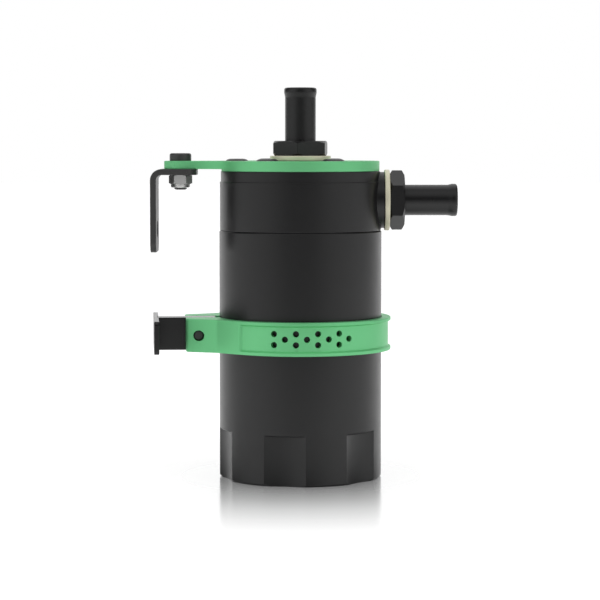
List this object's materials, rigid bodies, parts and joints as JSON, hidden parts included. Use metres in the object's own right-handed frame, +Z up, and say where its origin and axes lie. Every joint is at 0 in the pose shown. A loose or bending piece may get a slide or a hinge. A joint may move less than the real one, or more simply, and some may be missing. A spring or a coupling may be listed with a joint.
{
  "type": "oil catch can",
  "caption": "Engine-bay oil catch can: a turned can that unscrews from a ported head with hose tails, a bracket plate with a swinging L-bracket, and a sliding split collar with a foot.",
  "frame": {"origin": "middle of the can's underside, on the can's axis", "axes": "+Z up along the can's axis, +X along the side port, -X towards the bracket arm; the collar's ears point 4.2 degrees from -X, towards -Y"},
  "size_m": [0.1206, 0.0708, 0.1525],
  "materials": {
    "black_anodised": "satin black anodised",
    "green_anodised": "satin green anodised",
    "black_steel": "black oxide",
    "black_coated_steel": "satin black coat",
    "bright_zinc": "bright zinc plate",
    "yellow_zinc": "pale yellow zinc plate",
    "black_rubber": "matte",
    "white_plastic": "matte",
    "sintered_bronze": "porous",
    "bare_aluminium": "machined"
  },
  "bodies": {
    "head": {"head": "black_anodised", "bracket_plate": "green_anodised", "plate_screws": "black_steel", "top_fitting": "black_anodised", "top_seal_washer": "yellow_zinc", "top_seal_lip": "black_rubber", "side_fitting": "black_anodised", "side_seal_washer": "yellow_zinc", "side_seal_lip": "black_rubber", "filter": "sintered_bronze", "baffle_plate": "bare_aluminium", "baffle_screws": "bright_zinc", "pivot_bolt": "black_steel", "lock_nut": "bright_zinc", "lock_nut_insert": "white_plastic"},
    "can_seal": {"can_o_ring": "black_rubber"},
    "can": {"can_body": "black_anodised"},
    "angle_bracket": {"angle_bracket": "black_coated_steel"},
    "collar": {"collar": "green_anodised", "collar_foot": "black_anodised", "clamp_screw": "black_steel"}
  },
  "joints": [
    {"name": "can_drop", "type": "slide", "parent": "head", "child": "can_seal", "axis": [0, 0, -1], "range_m": [0, 0.006]},
    {"name": "can_unscrew", "type": "hinge", "parent": "can_seal", "child": "can", "pos_m": [0, 0, 0.092], "axis": [0, 0, -1], "range_deg": [0, 1080]},
    {"name": "angle_swing", "type": "hinge", "parent": "head", "child": "angle_bracket", "pos_m": [-0.0469, 0, 0.1197], "axis": [0, 0, 1], "continuous": true},
    {"name": "collar_slide", "type": "slide", "parent": "head", "child": "collar", "axis": [0, 0, 1], "range_m": [-0.029, 0.025]}
  ],
  "couplings": [
    {"joint": "can_drop", "follows": "can_unscrew", "m_per_rad": 0.0003183}
  ]
}
